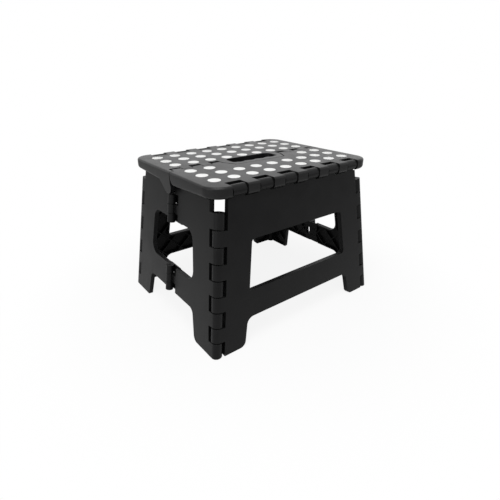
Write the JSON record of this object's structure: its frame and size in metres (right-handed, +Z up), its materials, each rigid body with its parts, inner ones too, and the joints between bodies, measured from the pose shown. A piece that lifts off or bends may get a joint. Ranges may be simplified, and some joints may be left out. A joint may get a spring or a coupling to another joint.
{
  "type": "folding step stool",
  "caption": "Low folding step stool: hinged two-part tread with hand slot and grip dots on two slanted legs and folding end walls, all on knuckle hinges.",
  "frame": {"origin": "on the floor, below the middle of the bounding box of the open stool", "axes": "+X along the tread to the right as seen from the front, +Y from front to rear, +Z up"},
  "size_m": [0.323, 0.2624, 0.2253],
  "materials": {
    "black_plastic": "fine moulded grain, satin",
    "black_pins": "smooth",
    "white_dots": "matte"
  },
  "bodies": {
    "leg_rear": {"rear_leg_panel": "black_plastic", "corner_rod_left_rear": "black_pins", "corner_rod_right_rear": "black_pins"},
    "top_rear": {"top_rear_panel": "black_plastic", "grip_dots_rear": "white_dots", "rear_edge_hinge_rod": "black_pins", "centre_hinge_rod_left": "black_pins", "centre_hinge_rod_right": "black_pins"},
    "top_front": {"top_front_panel": "black_plastic", "grip_dots_front": "white_dots", "front_edge_hinge_rod": "black_pins"},
    "leg_front": {"front_leg_panel": "black_plastic", "corner_rod_left_front": "black_pins", "corner_rod_right_front": "black_pins"},
    "end_left_rear": {"end_wall_left_rear": "black_plastic", "end_hinge_pin_left_upper": "black_pins", "end_hinge_pin_left_lower": "black_pins"},
    "end_right_rear": {"end_wall_right_rear": "black_plastic", "end_hinge_pin_right_upper": "black_pins", "end_hinge_pin_right_lower": "black_pins"},
    "end_left_front": {"end_wall_left_front": "black_plastic"},
    "end_right_front": {"end_wall_right_front": "black_plastic"}
  },
  "joints": [
    {"name": "centre_fold", "type": "hinge", "parent": "top_rear", "child": "top_front", "pos_m": [0, 0, 0.2035], "axis": [1, 0, 0], "range_deg": [0, 176.1]},
    {"name": "rear_edge_hinge", "type": "hinge", "parent": "leg_rear", "child": "top_rear", "pos_m": [0, 0.1074, 0.2174], "axis": [-1, 0, 0], "range_deg": [0, 82.95]},
    {"name": "front_edge_hinge", "type": "hinge", "parent": "top_front", "child": "leg_front", "pos_m": [0, -0.1074, 0.2174], "axis": [-1, 0, 0], "range_deg": [0, 83.5]},
    {"name": "corner_hinge_left_rear", "type": "hinge", "parent": "leg_rear", "child": "end_left_rear", "pos_m": [-0.14004, 0.11323, 0.0966], "axis": [0.1315, -0.1053, 0.9857], "range_deg": [0, 89.5]},
    {"name": "corner_hinge_right_rear", "type": "hinge", "parent": "leg_rear", "child": "end_right_rear", "pos_m": [0.14004, 0.11323, 0.0966], "axis": [0.1315, 0.1053, -0.9857], "range_deg": [0, 89.5]},
    {"name": "corner_hinge_left_front", "type": "hinge", "parent": "leg_front", "child": "end_left_front", "pos_m": [-0.14004, -0.11323, 0.0966], "axis": [-0.1315, -0.1053, -0.9857], "range_deg": [0, 89.5]},
    {"name": "corner_hinge_right_front", "type": "hinge", "parent": "leg_front", "child": "end_right_front", "pos_m": [0.14004, -0.11323, 0.0966], "axis": [-0.1315, 0.1053, 0.9857], "range_deg": [0, 89.5]}
  ],
  "couplings": [
    {"joint": "centre_fold", "follows": "rear_edge_hinge", "ratio": 2.1217},
    {"joint": "front_edge_hinge", "follows": "rear_edge_hinge", "ratio": 1},
    {"joint": "corner_hinge_left_rear", "follows": "rear_edge_hinge", "ratio": 1.074},
    {"joint": "corner_hinge_right_rear", "follows": "rear_edge_hinge", "ratio": 1.074},
    {"joint": "corner_hinge_left_front", "follows": "rear_edge_hinge", "ratio": 1.074},
    {"joint": "corner_hinge_right_front", "follows": "rear_edge_hinge", "ratio": 1.074}
  ]
}
